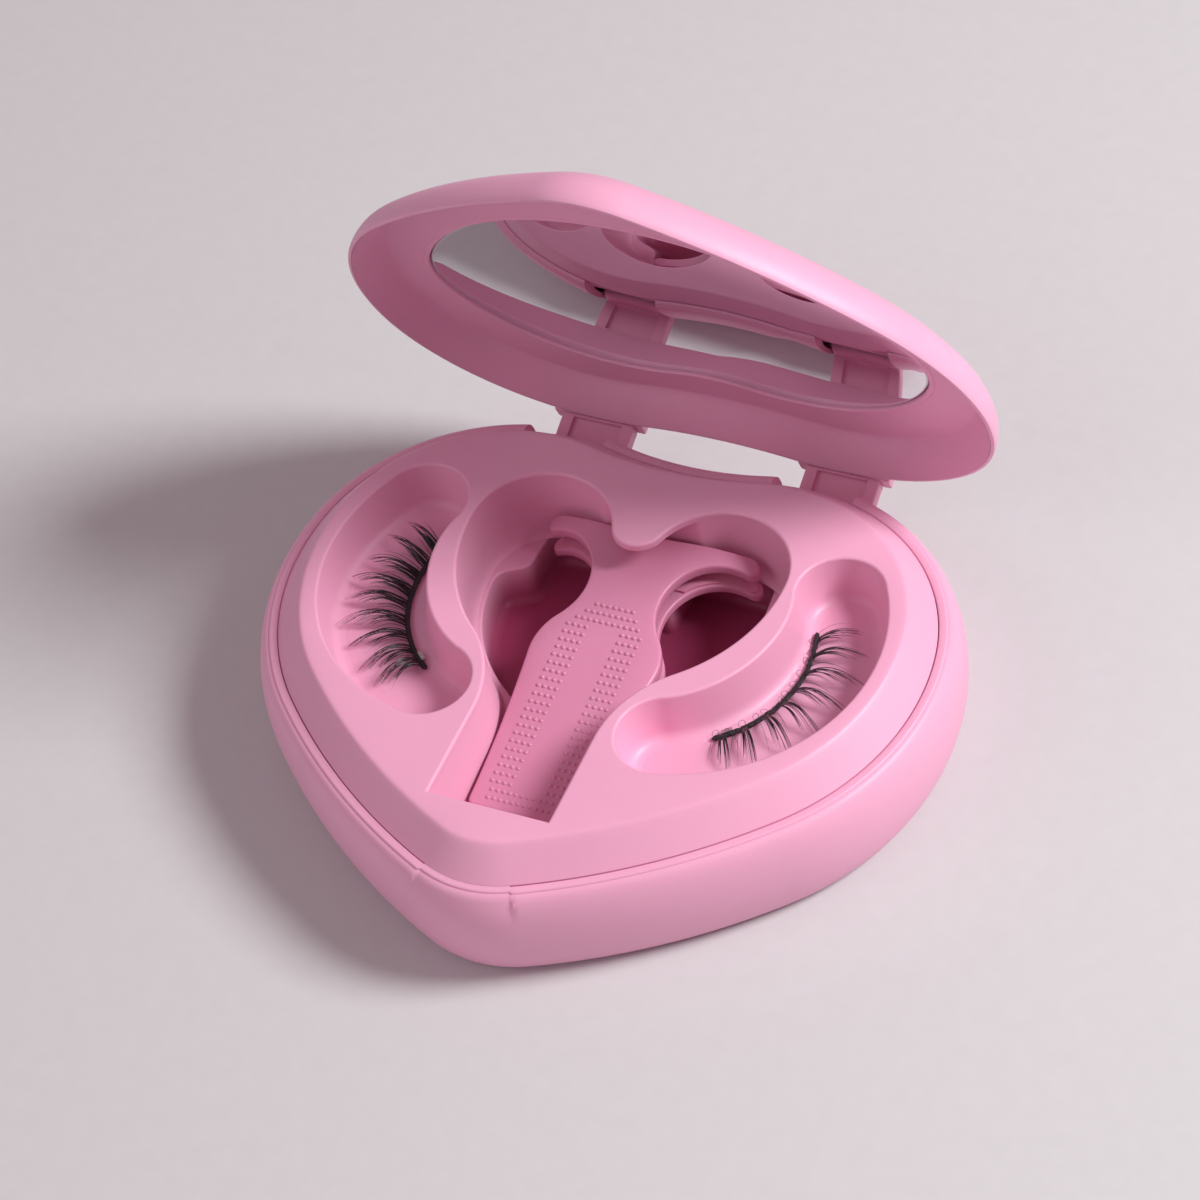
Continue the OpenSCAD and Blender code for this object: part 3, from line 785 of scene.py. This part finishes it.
def arc_tube(w, h, wobble, seed):
    """The cord of a band: a bar of rounded section along an arc about the middle of its well."""
    rnd = random.Random(seed)
    r, z, n = BAND_R, WELL + 0.5, 70
    a0, a1 = BAND_ARC
    s = Shape()
    rings = []
    for i in range(n + 1):
        a = math.radians(a0 + (a1 - a0) * i / n)
        grow = 0.35 if i in (0, n) else 1
        jr, jz = rnd.uniform(-wobble, wobble), rnd.uniform(-wobble, wobble)
        sec = []
        for k in range(10):
            t = 2 * math.pi * k / 10
            rr = r + jr + grow * w / 2 * math.copysign(abs(math.cos(t)) ** 0.6, math.cos(t))
            zz = z + jz + grow * h / 2 * math.copysign(abs(math.sin(t)) ** 0.6, math.sin(t))
            sec.append((WELL_C[0] + rr * math.cos(a), WELL_C[1] + rr * math.sin(a), zz))
        rings.append(sec)
    s.loft(rings, cap_first=True, cap_last=True)
    for f in range(len(s.faces)):
        s.faces[f] = tuple(reversed(s.faces[f]))
    return s


def strand(s, path, width, sides=4, tip=0.18):
    """A tapering hair through the points of path."""
    path = np.array(path)
    t = np.gradient(path, axis=0)
    t /= np.linalg.norm(t, axis=1)[:, None]
    up = np.array([0, 0, 1.0])
    rings = []
    for i, p in enumerate(path):
        u = i / (len(path) - 1)
        a = np.cross(t[i], up)
        a /= np.linalg.norm(a)
        b = np.cross(a, t[i])
        w = width / 2 * (1 - (1 - tip) * u ** 1.3)
        turns = np.linspace(0, 2 * math.pi, sides, endpoint=False)
        rings.append([p + w * (math.cos(q) * a + math.sin(q) * b) for q in turns])
    ids = s.loft(rings)
    s.faces.append(tuple(reversed(ids[0])))
    s.faces.append(tuple(ids[-1]))


def lash_hairs(name, body, cover, seed, clusters, locks, length, width, mirrored, sweep, arch,
               gather, spread, strays):
    """Clusters of hairs that arch up and over, with a few loose hairs between them.
    gather and spread are the share of a cluster's step that its roots and its tips take up."""
    rnd = random.Random(seed)
    s = Shape()
    a0, a1 = BAND_ARC
    step = (a1 - a0) / clusters
    r0 = BAND_R + 0.1
    z0 = WELL + 0.5

    def hair(root, tip, ln, w, high):
        path = []
        for k in range(10):
            v = k / 9
            a = math.radians(root + (tip - root) * v ** 1.25)
            r = r0 + ln * v * (1.02 - 0.08 * v)
            z = z0 + ln * high * math.sin(math.pi * 0.93 * v ** 0.85)
            path.append((WELL_C[0] + r * math.cos(a), WELL_C[1] + r * math.sin(a), z))
        strand(s, path, w)

    for c in range(clusters):
        at = (c + 0.5) / clusters
        mid = a0 + step * (c + 0.5) + rnd.uniform(-0.6, 0.6)
        tip_mid = mid + sweep + (2 * at - 1) * 3.5 + rnd.uniform(-1.5, 1.5)
        edge = 1 - 0.26 * abs(2 * at - 1) ** 2
        high = arch * rnd.uniform(0.85, 1.15)
        for j in range(locks):
            u = 2 * (j + 0.5) / locks - 1 + rnd.uniform(-0.1, 0.1)
            ln = length * edge * (1 - 0.38 * abs(u - 0.25) ** 1.4) * rnd.uniform(0.9, 1.03)
            rise = high * rnd.uniform(0.85, 1.1)
            for k in range(3):
                off = rnd.uniform(-1, 1) * 0.1
                root = mid + step * gather * (u + off)
                tip = tip_mid + step * spread * (u + off) + rnd.uniform(-0.35, 0.35)
                hair(root, tip, ln * rnd.uniform(0.82, 1), width * rnd.uniform(0.8, 1.15),
                     rise * rnd.uniform(0.96, 1.04))
        for j in range(2):
            u = rnd.uniform(-0.5, 0.5)
            root, tip = mid + step * gather * u, tip_mid + step * spread * u
            hair(root, tip, length * 0.5 * edge, width * 1.8, high * 0.9)
        for j in range(strays):
            u = rnd.uniform(0.75, 1.1) * rnd.choice((-1, 1))
            root, tip = mid + step * 0.45 * u, tip_mid + step * 0.6 * u
            hair(root, tip, length * rnd.uniform(0.4, 0.66), width * 0.6, high)
    s.make(name, body, HAIR, cover, sharp=80, mirrored=mirrored, slot="lash_hair")


def lashes():
    arc_tube(0.85, 0.6, 0.05, 3).make(
        "left_band_cord", "left_lash", BAND, ["left_lash_band"], mirrored=True, slot="lash_band")
    arc_tube(0.76, 0.58, 0.09, 4).make(
        "right_band_cord", "right_lash", BAND, ["right_lash_band"], slot="lash_band")
    lash_hairs("left_hair_clusters", "left_lash", ["left_lash_hairs"], seed=5, clusters=9, locks=7,
               length=12.0, width=0.17, mirrored=True, sweep=1, arch=0.3, gather=0.34, spread=0.13,
               strays=2)
    lash_hairs("right_hair_clusters", "right_lash", ["right_lash_hairs"], seed=8, clusters=8, locks=6,
               length=11.2, width=0.13, mirrored=False, sweep=-1, arch=0.28, gather=0.16, spread=0.2,
               strays=2)
    s = Shape()
    rnd = random.Random(12)
    for i in range(12):
        a = math.radians(-54 + 6.4 * i + rnd.uniform(-1, 1))
        rad = rnd.uniform(0.35, 0.6)
        lean = rnd.uniform(-0.3, 0.3)
        pts = []
        for k in range(13):
            t = -0.5 + (2 * math.pi - 0.6) * k / 12
            r = BAND_R - 0.15 - rad * (1 - math.cos(t)) * 0.8
            side = rad * math.sin(t) + lean * (1 - math.cos(t))
            pts.append((WELL_C[0] + r * math.cos(a) - side * math.sin(a),
                        WELL_C[1] + r * math.sin(a) + side * math.cos(a),
                        WELL + 0.55 + 0.3 * (1 - math.cos(t))))
        strand(s, pts, 0.09, 4, 0.6)
    s.make("right_band_knots", "right_lash", HAIR, sharp=80, slot="lash_hair")


base_shell()
inner_tray()
pedestal()
lid_shell()
lid_pads()
mirror_frame()
mirror_glass()
blade("lower_blade_moulding", "applicator", ["lower_blade"], LOWER_Z, LOW_TILT, 0, 0.35)
blade("upper_blade_moulding", "squeezed_blade", ["upper_blade"], UPPER_Z, UP_TILT, -0.4, 0.4)
grip_dots()
lashes()

# Carried-over solids
for name, mat in {"left_well_magnet": PLATED, "right_well_magnet": PLATED, "tray_catch_magnet": PLATED,
                  "lid_catch_magnet": PLATED, "left_lash_magnet": PLATED, "right_lash_magnet": PLATED,
                  "left_hinge_pin": STEEL, "right_hinge_pin": STEEL, "mirror_tape": PAPER,
                  "lower_jaw_strip": STRIP, "upper_jaw_strip": STRIP,
                  "left_hinge_arm": SHELL, "right_hinge_arm": SHELL}.items():
    ob = nodes[name]
    ob.data.materials.clear()
    ob.data.materials.append(mat)
for name in ("left_hinge_arm", "right_hinge_arm"):
    ob = nodes[name]
    weld = ob.modifiers.new("weld", "WELD")
    weld.merge_threshold = 1e-6
    bevel = ob.modifiers.new("bevel", "BEVEL")
    bevel.width, bevel.segments, bevel.limit_method, bevel.angle_limit = 0.00028, 3, "ANGLE", math.radians(50)

# Floor, light and world
bm = bmesh.new()
bmesh.ops.create_grid(bm, x_segments=2, y_segments=2, size=4)
me = bpy.data.meshes.new("floor")
bm.to_mesh(me)
bm.free()
floor = bpy.data.objects.new("floor", me)
bpy.context.scene.collection.objects.link(floor)
fm, t, bsdf, coord = new_material("floor_paper")
n = noise(t, coord, 300, 4)
paper = blend_colour(t, n.outputs["Fac"], (0.60, 0.60, 0.605), (0.64, 0.64, 0.645))
t.links.new(paper, bsdf.inputs["Base Color"])
bsdf.inputs["Roughness"].default_value = 0.75
me.materials.append(fm)


def area_light(name, place, size, power):
    """A round soft lamp aimed at the middle of the case."""
    aim = (0, 0, 0.02)
    data = bpy.data.lights.new(name, "AREA")
    data.shape, data.size, data.energy = "DISK", size, power
    ob = bpy.data.objects.new(name, data)
    ob.location = place
    ob.rotation_mode = "QUATERNION"
    ob.rotation_quaternion = (Vector(aim) - Vector(place)).to_track_quat("-Z", "Y")
    bpy.context.scene.collection.objects.link(ob)


area_light("key", (0.75, 0.25, 0.75), 0.38, 12.0)
area_light("fill", (-0.6, -0.7, 0.7), 0.9, 2.2)
world = bpy.data.worlds.new("world")
bpy.context.scene.world = world
world.use_nodes = True
world.node_tree.nodes["Background"].inputs["Color"].default_value = (0.74, 0.55, 0.61, 1)
world.node_tree.nodes["Background"].inputs["Strength"].default_value = 0.42
scene = bpy.context.scene
scene.view_settings.view_transform = "Standard"
aim_camera()
